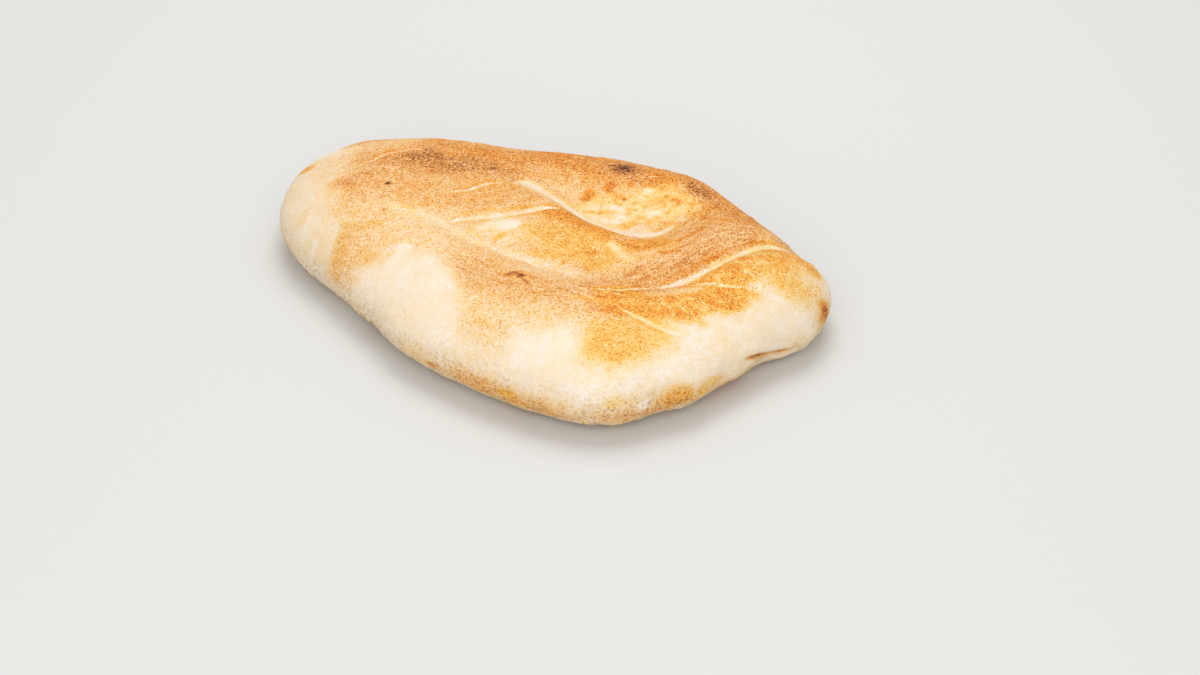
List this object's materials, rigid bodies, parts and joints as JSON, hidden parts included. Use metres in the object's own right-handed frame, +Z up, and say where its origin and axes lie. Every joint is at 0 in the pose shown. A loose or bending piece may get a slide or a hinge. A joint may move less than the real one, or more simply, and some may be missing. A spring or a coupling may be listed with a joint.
{
  "type": "lepinja flatbread",
  "caption": "Oval, puffed, hand-stretched yeast flatbread with a browned, creased and dimpled top, pale sides and a flat base.",
  "frame": {"origin": "bottom centre of the bread's box, on the flat base that it lies on", "axes": "+Z up; +X along the long side of the box, towards the folded end with the tuck; +Y from the low front edge to the far rim"},
  "size_m": [0.2372, 0.2014, 0.0392],
  "materials": {
    "crust": "matt baked wheat crust, golden brown on top and cream at the sides"
  },
  "bodies": {
    "root": {"lepinja": "crust"}
  },
  "joints": []
}
